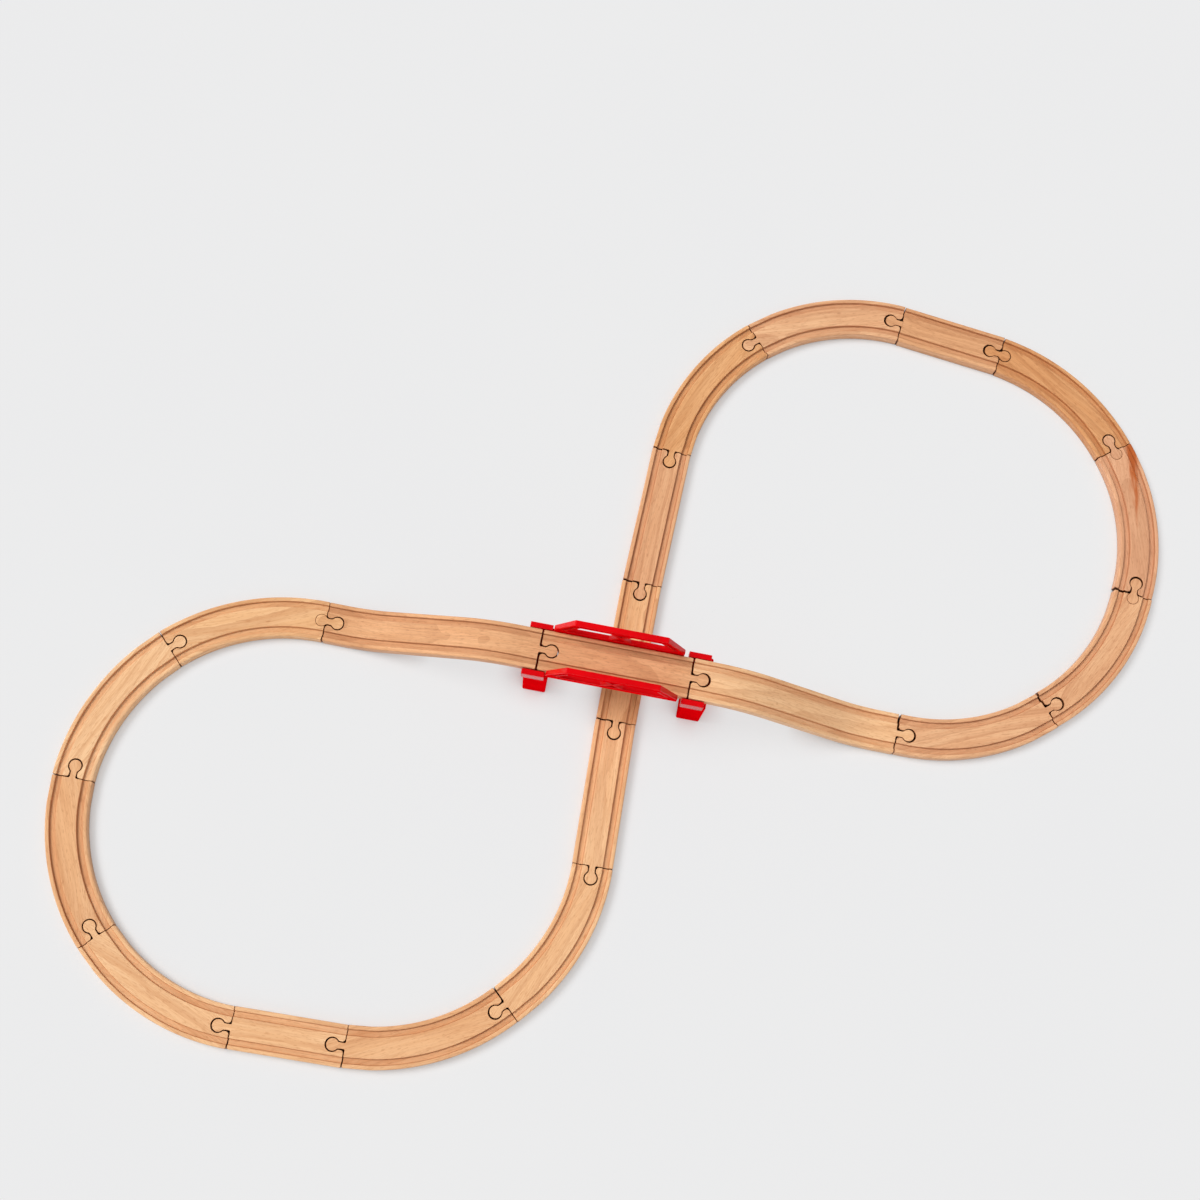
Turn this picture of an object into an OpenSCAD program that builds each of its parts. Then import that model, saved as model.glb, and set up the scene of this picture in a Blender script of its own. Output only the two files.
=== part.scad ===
// Wooden train track laid as a figure of eight, crossing over itself on a red bridge.
// Millimetres. X runs along the bridge deck, Y across it, Z up. The floor is z = 0
// and the origin lies under the middle of the deck.

/* [Track] */
// Width of every track piece
track_w = 40; // [37:1:50]
// Thickness of the wood
track_t = 12; // [9:0.5:16]
// Width of each wheel groove
groove_w = 6; // [4:0.5:7]
// Depth of each wheel groove
groove_d = 3; // [1.5:0.5:5]
// Strip of wood between the two grooves
strip_w = 20; // [16:1:22]
// Rounding along the two top edges
edge_r = 1.5; // [0.5:0.25:2.5]
// Rounding of the end corners, seen from above
corner_r = 2; // [1:0.5:4]

/* [Pieces] */
// Length of a straight
straight_l = 144; // [125:1:165]
// Length of a short straight
short_l = 108; // [90:1:125]
// Radius of a curve along its middle
curve_r = 202; // [180:1:225]

/* [Knob joints] */
// Diameter of a knob
knob_d = 12; // [10:0.5:14]
// Width of the neck that carries a knob
neck_w = 6; // [4:0.5:8]
// Distance from an end face to the middle of its knob
knob_reach = 12; // [11:0.5:15]
// Rounding where the neck runs into the knob
knob_fillet = 3; // [1:0.5:4]
// Rounding where the neck leaves the end face
neck_fillet = 1; // [0.5:0.25:2]
// Rounding of the two lips at the mouth of a socket
mouth_r = 3; // [1.5:0.5:4]
// Least gap between two pieces that are joined
joint_clr = 0.35; // [0.3:0.05:0.8]
// Distance from an end face to the middle of the glued head of a plug
plug_seat = 4; // [3:0.25:12]
// Gap all round a plug in the piece it is glued into
plug_clr = 0.08; // [0.05:0.01:0.15]

/* [Bridge] */
// Length of the deck
deck_l = 147; // [130:1:165]
// Height of the underside of the deck above the floor
deck_z = 63; // [52:1:74]
// Gap drawn out at each end of the deck
deck_gap = 1.3; // [0.5:0.1:2.5]
// Length of a ramp, seen from above
ramp_l = 215; // [190:1:240]
// Share of the greatest bend a ramp of this length and rise could have
ramp_bend = 0.8; // [0.5:0.05:0.95]
// Level length at the foot of a ramp
ramp_foot = 16; // [14:1:24]
// Level length of a ramp past the support under its top
ramp_level = 3; // [1:0.5:10]

/* [Supports] */
// Length of a column along the deck
column_l = 23.2; // [16:0.2:30]
// Thickness of the walls and the roof of a hollow column
column_wall = 2.6; // [1.6:0.2:4]
// Rounding of the upright edges of a column
column_r = 1.2; // [0.4:0.2:3]
// Gap between a column and the track it carries
seat_clr = 0.3; // [0.3:0.1:1]
// Distance of the west column from the joint it carries, eastward
west_shift = 0; // [-3:0.5:3]
// Distance of the east column from the joint it carries, eastward
east_shift = 8; // [4:0.5:11]
// Length of the lips that keep the track from sliding sideways
lip_l = 22.4; // [16:0.2:28]
// Thickness of a lip
lip_t = 5.6; // [4:0.2:8]
// Distance of the lips from the middle of their column, westward
lip_shift = 2.4; // [0:0.2:4]
// How far a lip stands out past the side of its column
lip_proud = 0.7; // [0.4:0.1:1.5]
// How far a lip reaches below the underside of the deck
lip_below = 6; // [4:0.5:10]
// How far the top of a lip stays below the top of the track
lip_drop = 2; // [1:0.5:4]
// Rounding of the lower corner of a lip
lip_r = 3; // [1:0.5:3.5]
// Gap between a lip and the track, before the turn of the ramps is added
lip_clr = 0.5; // [0.3:0.1:1.2]

/* [Girders] */
// Height of a girder
girder_h = 41; // [34:1:58]
// Thickness of a girder at its foot
girder_t = 4.4; // [3:0.1:6]
// How much thicker a girder is at its head
girder_draft = 1.4; // [0.4:0.1:2]
// How far a girder reaches below the top of the deck
girder_lap = 5; // [4:0.5:8]
// Gap between a girder and the side of the deck
girder_clr = 0.5; // [0.3:0.1:1]
// Gap between the toes of a girder and the lips of the supports
toe_gap = 1.2; // [0.6:0.2:5]
// Height of the bar along the foot of a girder
foot_bar = 10; // [8:0.5:13]
// Height of the bar along the head of a girder
head_bar = 8; // [4:0.5:11]
// Width of the leaning post at each end
post_w = 7; // [4:0.5:10]
// Length over which an end post leans
post_lean = 19; // [12:1:26]
// Length taken up by the crossed braces
brace_l = 18; // [12:1:30]
// Width of a brace
brace_w = 3.4; // [2:0.2:5]
// Diameter of the pegs that fix a girder to the deck
peg_d = 3; // [2:0.25:3.5]
// Distance of the pegs from the middle of the deck
peg_x = 46; // [30:1:55]
// Wood left between a peg and the wheel groove
peg_cover = 1; // [0.6:0.1:1.2]
// Gap round a peg in its hole
peg_clr = 0.05; // [0.03:0.01:0.12]

/* [Hidden] */
$fn = 64;

// Small overlap that lets a cut run clear of a face
over = 0.5;

// Extra radius with which a rounded corner meets its two faces at a slight angle
ease = 0.06;

// Each loop of the eight turns through three quarters of a circle in six curves
curve_a = 270 / 6;

// Pieces in the order a train meets them, starting with the deck and heading east
kinds = [
    "deck", "ramp", "left", "left", "left", "left", "short", "left", "left",
    "straight", "straight", "straight", "right", "right", "short",
    "right", "right", "right", "right", "ramp"
];

// How far the loose joint after each piece is turned, in degrees, before the ring is closed
slack_turns = [
    -0.5, -2.5, -3, -3, -0.5, 3, 3, 0.5, 1.5,
    2, 1.5, -0.5, 1.5, -1, -1,
    0, -0.5, -0.5, 1, 0.5
];

// Rounds of correction that close the ring
close_passes = 6;

// Facets of the large circles in the bends of a ramp
bend_fn = 360;

function heading(a) = [cos(a), sin(a)];
function leftward(a) = [-sin(a), cos(a)];

function run_of(kind) =
    kind == "deck" ? deck_l : kind == "ramp" ? ramp_l : kind == "short" ? short_l : straight_l;
function bend_of(kind) = kind == "left" ? 1 : kind == "right" ? -1 : 0;

// A place on the track is [[x, y], heading]. This is the far end of a piece that starts there.
function far_end(place, kind) =
    let (bend = bend_of(kind), a = place[1], b = a + bend * curve_a)
    bend == 0
        ? [place[0] + run_of(kind) * heading(a), a]
        : [place[0] + bend * curve_r * (leftward(a) - leftward(b)), b];

// Gap left between two end faces so that their corners clear when the joint is turned
function turn_gap(turn) = joint_clr + (track_w / 2 - corner_r) * sin(abs(turn));
function gap_after(i, turn) =
    kinds[i] == "deck" || i == len(kinds) - 1 ? max(deck_gap, turn_gap(turn)) : turn_gap(turn);

function knob_mid(end) = end[0] + knob_reach * heading(end[1]);
function next_place(end, i, turn) =
    let (a = end[1] + turn)
    [knob_mid(end) - (knob_reach - gap_after(i, turn)) * heading(a), a];

// Starting places of the pieces, with the place where the ring comes back to the deck at the end
function lay(turns, i = 0, place = [[-deck_l / 2, 0], 0]) =
    i == len(kinds)
        ? [place]
        : concat([place], lay(turns, i + 1, next_place(far_end(place, kinds[i]), i, turns[i])));

// Solves three equations, given the columns of a symmetric matrix
function solve(m, v) =
    [v * cross(m[1], m[2]), v * cross(m[2], m[0]), v * cross(m[0], m[1])]
    / (m[0] * cross(m[1], m[2]));

// Turns every joint by the least amount that brings the ring back to its start
function closed(turns, passes) =
    passes == 0
        ? turns
        : let (
            places = lay(turns),
            last = places[len(kinds)],
            miss = [
                last[0][0] - places[0][0][0],
                last[0][1] - places[0][0][1],
                last[1] - places[0][1]
            ],
            arms = [
                for (i = [0 : len(kinds) - 1])
                    let (arm = (last[0] - knob_mid(far_end(places[i], kinds[i]))) * PI / 180)
                    [-arm[1], arm[0], 1]
            ],
            across = [for (c = [0 : 2]) [for (arm = arms) arm[c]]],
            pull = solve(across * arms, miss)
        )
        closed([for (i = [0 : len(kinds) - 1]) turns[i] - arms[i] * pull], passes - 1);

turns = closed(slack_turns, close_passes);
places = lay(turns);
gaps = [for (i = [0 : len(kinds) - 1]) gap_after(i, turns[i])];
flex_max = max([for (turn = turns) abs(turn)]);
bridge_flex = max(abs(turns[0]), abs(turns[len(kinds) - 1]));

// Sockets leave room for every gap and every turn met round the ring
knob_r = knob_d / 2;
gap_spread = (max(gaps) - min(gaps)) / 2;
socket_reach = knob_reach - (max(gaps) + min(gaps)) / 2;
socket_r = knob_r + joint_clr + gap_spread;
slot_w = neck_w + 2 * (joint_clr + (knob_reach - mouth_r) * sin(flex_max));

// Supports stand under the two joints of the deck
seam_x = (deck_l + deck_gap) / 2;
west_x = west_shift - seam_x;
east_x = east_shift + seam_x;
column_h = deck_z - seat_clr;
lip_y = track_w / 2 + lip_clr + (lip_l + knob_reach) * sin(bridge_flex);
column_w = 2 * (lip_y + lip_t - lip_proud);

// Ramps stay level over the support that reaches furthest out from the deck
ramp_top = column_l / 2 + max(east_shift, -west_shift) + ramp_level;
slope_l = ramp_l - ramp_foot - ramp_top;
ramp_r = ramp_bend * (slope_l * slope_l + deck_z * deck_z) / (4 * deck_z);
slope_run = sqrt(slope_l * slope_l + deck_z * deck_z - 4 * ramp_r * deck_z);
slope_a = 2 * atan2(deck_z, slope_l + slope_run);

// Girders stop short of the nearest lips
girder_y = track_w / 2 + girder_clr;
girder_z = deck_z + track_t - girder_lap;
toe_x = min(-west_x + lip_shift, east_x - lip_shift) - lip_l / 2 - toe_gap;
head_x = toe_x - post_lean;
post_run = post_w * sqrt(1 + pow(post_lean / (girder_h - foot_bar), 2));
bay_lean = post_lean * (girder_h - foot_bar - head_bar) / (girder_h - foot_bar);
edge_w = (track_w - strip_w) / 2 - groove_w;
peg_l = edge_w - peg_cover;
peg_z = deck_z + track_t - girder_lap / 2;

// Cross-section of the track, standing on its underside
module section() {
    difference() {
        union() {
            translate([-track_w / 2, 0])
                square([track_w, track_t - edge_r]);
            translate([edge_r - track_w / 2, 0])
                square([track_w - 2 * edge_r, track_t]);
            for (side = [-1, 1])
                translate([side * (track_w / 2 - edge_r), track_t - edge_r])
                    circle(edge_r);
        }
        for (side = [-1, 1])
            translate([side * (strip_w + groove_w) / 2 - groove_w / 2, track_t - groove_d])
                square([groove_w, groove_d + over]);
    }
}

// Round head on a neck that starts at x = 0, with a rounded throat between the two
module keyhole(head_r, neck, fillet, reach) {
    half = neck / 2;
    fillet_x = reach - sqrt(pow(head_r + fillet, 2) - pow(half + fillet, 2));
    touch_y = (half + fillet) * head_r / (head_r + fillet);
    translate([reach, 0])
        circle(head_r);
    translate([-over, -half])
        square([reach + over, neck]);
    difference() {
        translate([fillet_x, -touch_y])
            square([reach - fillet_x, 2 * touch_y]);
        for (side = [-1, 1])
            translate([fillet_x, side * (half + fillet)])
                circle(fillet + ease);
    }
}

// Rounding of both corners where a neck starts at x = 0
module flare(neck, r) {
    difference() {
        translate([-over, -neck / 2 - r])
            square([r + over, neck + 2 * r]);
        for (side = [-1, 1])
            translate([r, side * (neck / 2 + r)])
                circle(r);
    }
}

// Wood that is cut away to round one end corner of a piece that starts at x = 0
module corner_cut(side) {
    out = 2 * corner_r;
    translate([corner_r, side * (track_w / 2 - corner_r)])
        difference() {
            polygon([[0, 0], [-out, 0], [-out, side * out], [0, side * out]]);
            circle(corner_r + ease);
        }
}

// Upright cut through the thickness of a piece
module cut_through() {
    translate([0, 0, -over])
        linear_extrude(track_t + 2 * over)
            children();
}

module at_end(end, z) {
    translate([end[0][0], end[0][1], z])
        rotate(end[1])
            children();
}

module knob() {
    linear_extrude(track_t) {
        keyhole(knob_r, neck_w, knob_fillet, knob_reach);
        flare(neck_w, neck_fillet);
    }
}

// Two-headed plug: a loose head outside the end face and a glued head close behind it
module plug() {
    linear_extrude(track_t) {
        plug_half(knob_reach, 0);
        rotate(180)
            plug_half(plug_seat, 0);
    }
}

module plug_half(reach, clr) {
    keyhole(knob_r + clr, neck_w + 2 * clr, knob_fillet, reach);
}

// Cuts the socket and the corners of a plain piece and gives it a knob, or a pocket for a plug
module jointed(kind, z_in, z_out, plugged) {
    end = far_end([[0, 0], 0], kind);
    difference() {
        union() {
            children();
            if (!plugged)
                at_end(end, z_out)
                    knob();
        }
        translate([0, 0, z_in])
            cut_through() {
                keyhole(socket_r, slot_w, knob_fillet, socket_reach);
                flare(slot_w, mouth_r);
                for (side = [-1, 1])
                    corner_cut(side);
            }
        at_end(end, z_out)
            cut_through() {
                for (side = [-1, 1])
                    mirror([1, 0])
                        corner_cut(side);
                if (plugged)
                    rotate(180)
                        plug_half(plug_seat, plug_clr);
            }
    }
}

module plain_run(l) {
    rotate([90, 0, 90])
        linear_extrude(l)
            section();
}

module straight(kind) {
    jointed(kind, 0, 0, false)
        plain_run(run_of(kind));
}

module curve(plugged) {
    jointed("left", 0, 0, plugged)
        translate([0, curve_r, 0])
            rotate(-90)
                rotate_extrude(angle = curve_a)
                    translate([curve_r, 0])
                        section();
}

// Side view of all that lies above a ramp's underside, or above a line raised from it by h.
// Two circles round the bends where the slope meets the level foot and the level top.
module above_slope(h) {
    hollow_r = ramp_r - h;
    hump_r = ramp_r + h;
    hump_x = ramp_l - ramp_top;
    hollow_end = ramp_foot + hollow_r * sin(slope_a);
    hump_start = hump_x - hump_r * sin(slope_a);
    sky = 2 * (deck_z + track_t);
    difference() {
        polygon([
            [-over, h],
            [ramp_foot + hollow_r * tan(slope_a / 2), h],
            [hump_x - hump_r * tan(slope_a / 2), deck_z + h],
            [ramp_l + over, deck_z + h],
            [ramp_l + over, sky],
            [-over, sky]
        ]);
        difference() {
            polygon([
                [ramp_foot, h],
                [ramp_foot, -sky],
                [hollow_end, -sky],
                [hollow_end, ramp_r - hollow_r * cos(slope_a)]
            ]);
            translate([ramp_foot, ramp_r])
                circle(hollow_r, $fn = bend_fn);
        }
    }
    difference() {
        polygon([
            [hump_x, deck_z + h],
            [hump_x, sky],
            [hump_start, sky],
            [hump_start, deck_z - ramp_r + hump_r * cos(slope_a)]
        ]);
        translate([hump_x, deck_z - ramp_r])
            circle(hump_r, $fn = bend_fn);
    }
}

// Spreads a side view evenly across the track, w wide about the line y
module spread(y, w) {
    translate([0, y + w / 2, 0])
        rotate([90, 0, 0])
            linear_extrude(w)
                children();
}

// Ramp that rises toward +X, without its joints
module ramp_run() {
    difference() {
        spread(0, track_w)
            difference() {
                intersection() {
                    above_slope(0);
                    square([ramp_l, deck_z + track_t]);
                }
                above_slope(track_t);
            }
        for (side = [-1, 1])
            spread(side * (strip_w + groove_w) / 2, groove_w)
                above_slope(track_t - groove_d);
    }
}

// Stands a piece at its place in the ring
module placed(i, z = 0) {
    at_end(places[i], z)
        children();
}

module left_curve(i, plugged) {
    color("burlywood")
        placed(i)
            curve(plugged);
}

module right_curve(i, plugged) {
    color("burlywood")
        placed(i)
            mirror([0, 1, 0])
                curve(plugged);
}

module plug_after(i) {
    end = far_end(places[i], kinds[i]);
    color("tan")
        at_end(end, 0)
            plug();
}

module straight_piece(i) {
    color("burlywood")
        placed(i)
            straight(kinds[i]);
}

// Pegs of one girder, or the holes for them when they are given a gap
module pegs(side, clr, l) {
    for (x = [-peg_x, peg_x])
        translate([x, side * (girder_y + girder_t / 2), peg_z])
            rotate([side * 90, 0, 0])
                cylinder(r = peg_d / 2 + clr, h = girder_t / 2 + girder_clr + l);
}

module bridge_deck() {
    color("burlywood")
        difference() {
            placed(0, deck_z)
                straight("deck");
            for (side = [-1, 1])
                pegs(side, peg_clr, peg_l + peg_clr);
        }
}

module ramp_east() {
    color("burlywood")
        placed(1)
            jointed("ramp", deck_z, 0, false)
                translate([ramp_l, 0, 0])
                    mirror([1, 0, 0])
                        ramp_run();
}

module ramp_west() {
    color("burlywood")
        placed(len(kinds) - 1)
            jointed("ramp", 0, deck_z, false)
                ramp_run();
}

module curve_1() {
    left_curve(2, false);
}

module curve_2() {
    left_curve(3, true);
}

module curve_3() {
    left_curve(4, true);
}

module curve_4() {
    left_curve(5, true);
}

module short_straight_1() {
    straight_piece(6);
}

module curve_5() {
    left_curve(7, false);
}

module curve_6() {
    left_curve(8, false);
}

module straight_1() {
    straight_piece(9);
}

module straight_2() {
    straight_piece(10);
}

module straight_3() {
    straight_piece(11);
}

module curve_7() {
    right_curve(12, false);
}

module curve_8() {
    right_curve(13, false);
}

module short_straight_2() {
    straight_piece(14);
}

module curve_9() {
    right_curve(15, false);
}

module curve_10() {
    right_curve(16, false);
}

module curve_11() {
    right_curve(17, false);
}

module curve_12() {
    right_curve(18, true);
}

module connector_plug_1() {
    plug_after(18);
}

module connector_plug_2() {
    plug_after(3);
}

module connector_plug_3() {
    plug_after(4);
}

module connector_plug_4() {
    plug_after(5);
}

// Side view of a girder, with z = 0 along its lower edge
module girder_face() {
    difference() {
        polygon([
            [-toe_x, 0], [toe_x, 0], [toe_x, foot_bar],
            [head_x, girder_h], [-head_x, girder_h], [-toe_x, foot_bar]
        ]);
        polygon([
            [post_run - toe_x, foot_bar],
            [toe_x - post_run, foot_bar],
            [toe_x - post_run - bay_lean, girder_h - head_bar],
            [post_run + bay_lean - toe_x, girder_h - head_bar]
        ]);
    }
    for (side = [-1, 1])
        polygon([
            [-side * (brace_l + brace_w) / 2, foot_bar - over],
            [-side * (brace_l - brace_w) / 2, foot_bar - over],
            [side * (brace_l + brace_w) / 2, girder_h - head_bar + over],
            [side * (brace_l - brace_w) / 2, girder_h - head_bar + over]
        ]);
}

// What is taken off the outer side of a girder, so that it thickens upward
module draft_face(side) {
    lean = girder_draft / girder_h;
    foot = girder_y + girder_t - lean * over;
    head = girder_y + girder_t + girder_draft + lean * over;
    polygon([
        [side * foot, -over], [side * head, girder_h + over],
        [side * (head + 2 * over), girder_h + over], [side * (head + 2 * over), -over]
    ]);
}

module girder(side) {
    plate = girder_t + girder_draft + over;
    color("crimson") {
        translate([0, 0, girder_z])
            difference() {
                spread(side * (girder_y + plate / 2), plate)
                    girder_face();
                translate([-toe_x - over, 0, 0])
                    rotate([90, 0, 90])
                        linear_extrude(2 * (toe_x + over))
                            draft_face(side);
            }
        pegs(side, 0, peg_l);
    }
}

module girder_north() {
    girder(1);
}

module girder_south() {
    girder(-1);
}

// Side view of a lip, with its lower west corner rounded
module lip_face() {
    lip_h = lip_below + track_t - lip_drop;
    translate([lip_r, 0])
        square([lip_l - lip_r, lip_h]);
    translate([0, lip_r])
        square([lip_l, lip_h - lip_r]);
    translate([lip_r, lip_r])
        circle(lip_r);
}

module column_plan() {
    for (side = [0, 1])
        square([
            column_l - side * 2 * column_r,
            column_w - (1 - side) * 2 * column_r
        ], center = true);
    for (x = [-1, 1], y = [-1, 1])
        translate([x * (column_l / 2 - column_r), y * (column_w / 2 - column_r)])
            circle(column_r);
}

// Hollow column, open below, with a lip beside each edge of the track
module support(x) {
    color("crimson")
        translate([x, 0, 0])
            difference() {
                union() {
                    linear_extrude(column_h)
                        column_plan();
                    for (side = [-1, 1])
                        translate([-lip_shift - lip_l / 2, 0, deck_z - lip_below])
                            spread(side * (lip_y + lip_t / 2), lip_t)
                                lip_face();
                }
                translate([0, 0, -over])
                    linear_extrude(column_h - column_wall + over)
                        square([column_l - 2 * column_wall, column_w - 2 * column_wall], center = true);
            }
}

module support_east() {
    support(east_x);
}

module support_west() {
    support(west_x);
}

bridge_deck();
ramp_east();
ramp_west();
curve_1();
curve_2();
curve_3();
curve_4();
curve_5();
curve_6();
curve_7();
curve_8();
curve_9();
curve_10();
curve_11();
curve_12();
short_straight_1();
short_straight_2();
straight_1();
straight_2();
straight_3();
connector_plug_1();
connector_plug_2();
connector_plug_3();
connector_plug_4();
girder_north();
girder_south();
support_east();
support_west();
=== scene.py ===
"""Wooden train track laid as a figure of eight, with a red bridge where it crosses itself.

Sizes are in millimetres until a mesh is made. Every piece is worked out in its own frame, where it
starts at the origin and runs along +X, and is then stood at its place in the ring.
"""
import bmesh
import bpy
import numpy as np
from mathutils import Matrix, Vector
from mathutils.geometry import tessellate_polygon


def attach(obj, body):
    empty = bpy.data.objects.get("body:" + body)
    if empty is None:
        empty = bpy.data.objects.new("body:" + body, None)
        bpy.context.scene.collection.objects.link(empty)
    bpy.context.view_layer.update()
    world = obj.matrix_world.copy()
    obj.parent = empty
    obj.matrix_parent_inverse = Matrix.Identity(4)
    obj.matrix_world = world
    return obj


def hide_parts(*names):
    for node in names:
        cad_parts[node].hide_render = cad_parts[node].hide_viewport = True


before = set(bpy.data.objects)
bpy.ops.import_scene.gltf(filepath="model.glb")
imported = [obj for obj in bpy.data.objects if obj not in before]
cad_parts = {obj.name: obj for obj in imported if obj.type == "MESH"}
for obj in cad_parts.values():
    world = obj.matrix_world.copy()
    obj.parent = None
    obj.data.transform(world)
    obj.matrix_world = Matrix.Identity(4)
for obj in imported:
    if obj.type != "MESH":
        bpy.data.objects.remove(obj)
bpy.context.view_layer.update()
MM = 0.001

# Track section, with the strip between the grooves given by its half width
TRACK_W, TRACK_T = 40.0, 12.0
HALF_W = TRACK_W / 2
STRIP = 10.0
GROOVE_W, GROOVE_D = 6.0, 3.0
GROOVE_EASE, GROOVE_FOOT, GROOVE_LEAN = 0.55, 0.7, 0.12
EDGE_R, SOFT_R = 1.5, 0.45
CORNER_R, CUT_CORNER_R = 2.0, 1.0

# Lengths of the pieces
STRAIGHT_L, SHORT_L = 144.0, 108.0
CURVE_R, CURVE_A = 202.0, np.radians(45)
DECK_L, DECK_Z, DECK_GAP = 147.0, 63.0, 1.3
RAMP_L, RAMP_FOOT, RAMP_REST, RAMP_BEND = 215.0, 16.0, 3.0, 0.8

# Joints. A sink deepens a socket and room widens it. A rough saw cut leaves an end face a little long and
# out of square
KNOB_R, NECK_W, KNOB_REACH = 6.0, 6.0, 12.0
THROAT_R, FLARE_R, MOUTH_R, JOINT_CLR = 3.0, 1.0, 3.0, 0.35
NO_FLARE = -9.0
PLUG_SEAT, PLUG_CLR = 4.0, 0.08
LOOSE_PLUG, LOOSE_ROOM = "curve_4", 0.5
SOCKET_SINK, DECK_SINK, SOCKET_ROOM = 0.5, -0.3, 0.05
ROUGH_ENDS = ("curve_4", "short_straight_1")
CUT_TURN, CUT_LONG, CUT_FADE = 0.42, 0.25, 24.0

# Bridge
COLUMN_L, COLUMN_WALL, COLUMN_R, SEAT_CLR = 23.2, 2.6, 1.6, 0.3
COLUMN_FOOT, COLUMN_RIM = 0.4, 0.8
PANEL_BORDER, PANEL_SLOPE, PANEL_SINK, PANEL_HEAD = 2.2, 0.3, 0.35, 8.0
WEST_SHIFT, EAST_SHIFT = 0.0, 8.0
LIP_L, LIP_T, LIP_SHIFT, LIP_PROUD = 22.4, 5.6, 2.4, 0.7
LIP_BELOW, LIP_DROP, LIP_CLR = 6.0, 2.0, 0.5
LIP_R, LIP_CORNER_R, LIP_RIM = 3.0, 0.8, 0.7
GIRDER_H, GIRDER_T, GIRDER_DRAFT, GIRDER_LAP, GIRDER_CLR = 41.0, 4.4, 1.4, 5.0, 0.5
GIRDER_RIM, TOE_R, KNEE_R, HEAD_R = 0.6, 1.2, 1.6, 2.0
TOE_GAP, FOOT_BAR, HEAD_BAR = 1.2, 10.0, 8.0
POST_LEAN, BRACE_L, BRACE_W = 19.0, 18.0, 3.4
POST_RUN, SLOT_RUN, STRUT_RUN, SLOT_FOOT = 4.1, 3.2, 3.4, 14.5
SLOT_R, BAY_R, CROTCH_R = 0.6, 0.8, 0.5
RIM_GLOSS = 0.8

# How finely the surfaces are sampled, and the distances taken as nothing
STATION_L, JOINT_ZONE, DIGITS = 3.2, 24.0, 4
ARC_STEPS, HEAD_STEPS, TIP_STEPS, GROOVE_STEPS = 6, 22, 5, 3
EDGE_STEPS, FOOT_STEPS, RIM_STEPS = 4, 2, 4
CORNER_STEPS, HOLE_STEPS, LIP_STEPS = 5, 4, 6
TINY, HAIR = 1e-3, 1e-6
WELD_M, SLIVER_M, SHARP_A = 3e-6, 2e-6, np.radians(40)

# The ring from the deck on: piece, form, wood, and the turn in degrees of the loose joint at its far end
RING = (
    ("bridge_deck", "deck", "dull", -0.5),
    ("ramp_east", "down", "honey", -2.5),
    ("curve_1", "left", "rose", -3.0),
    ("curve_2", "left", "rose", -3.0),
    ("curve_3", "left", "stained", -0.5),
    ("curve_4", "left", "amber", 3.0),
    ("short_straight_1", "short", "dull", 3.0),
    ("curve_5", "left", "rose", 0.5),
    ("curve_6", "left", "golden", 1.5),
    ("straight_1", "straight", "rose", 2.0),
    ("straight_2", "straight", "lined", 1.5),
    ("straight_3", "straight", "honey", -0.5),
    ("curve_7", "right", "honey", 1.5),
    ("curve_8", "right", "tan", -1.0),
    ("short_straight_2", "short", "honey", -1.0),
    ("curve_9", "right", "honey", 0.0),
    ("curve_10", "right", "tan", -0.5),
    ("curve_11", "right", "pale", -0.5),
    ("curve_12", "right", "lined", 1.0),
    ("ramp_west", "up", "dull", 0.5),
)
NAMES, KINDS, _, SLACK = zip(*RING)
PLUGGED = {"curve_12": "connector_plug_1", "curve_2": "connector_plug_2", "curve_3": "connector_plug_3",
           "curve_4": "connector_plug_4"}
RUN = {"deck": DECK_L, "up": RAMP_L, "down": RAMP_L, "short": SHORT_L, "straight": STRAIGHT_L}
BEND = {"left": 1, "right": -1}
RAMPS = ("up", "down")


def heading(a):
    """Unit vector at angle a in the plan."""
    return np.array([np.cos(a), np.sin(a)])


def leftward(a):
    """Unit vector a quarter turn left of angle a."""
    return np.array([-np.sin(a), np.cos(a)])


def far_end(at, a, kind):
    """Place and heading at the far end of a piece: along the heading, or round the arc's centre."""
    bend = BEND.get(kind, 0)
    if bend == 0:
        return at + RUN[kind] * heading(a), a
    b = a + bend * CURVE_A
    return at + bend * CURVE_R * (leftward(a) - leftward(b)), b


def lay(turns):
    """Walks round the ring. Each piece starts one gap short of the last piece's knob, turned about it."""
    at, a, places, knobs, gaps = np.array([-DECK_L / 2, 0.0]), 0.0, [], [], []
    deck_joints = (0, len(KINDS) - 1)
    for i, (kind, turn) in enumerate(zip(KINDS, turns)):
        places.append((at, a))
        end, a = far_end(at, a, kind)
        gap = JOINT_CLR + (HALF_W - CORNER_R) * np.sin(abs(turn))
        if i in deck_joints:
            gap = max(gap, DECK_GAP)
        knob = end + KNOB_REACH * heading(a)
        a = a + turn
        at = knob - (KNOB_REACH - gap) * heading(a)
        knobs.append(knob)
        gaps.append(gap)
    return places, np.array(knobs), gaps, at, a


def close_ring(turns, passes=6):
    """Least change of all the turns that brings the ring back to its start, found by Newton's method."""
    for _ in range(passes):
        places, knobs, _, at, a = lay(turns)
        arm = at - knobs
        rows = np.stack([-arm[:, 1], arm[:, 0], np.ones(len(arm))], 1)
        miss = np.append(at - places[0][0], a - places[0][1])
        turns = turns - rows @ np.linalg.solve(rows.T @ rows, miss)
    return turns


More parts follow.
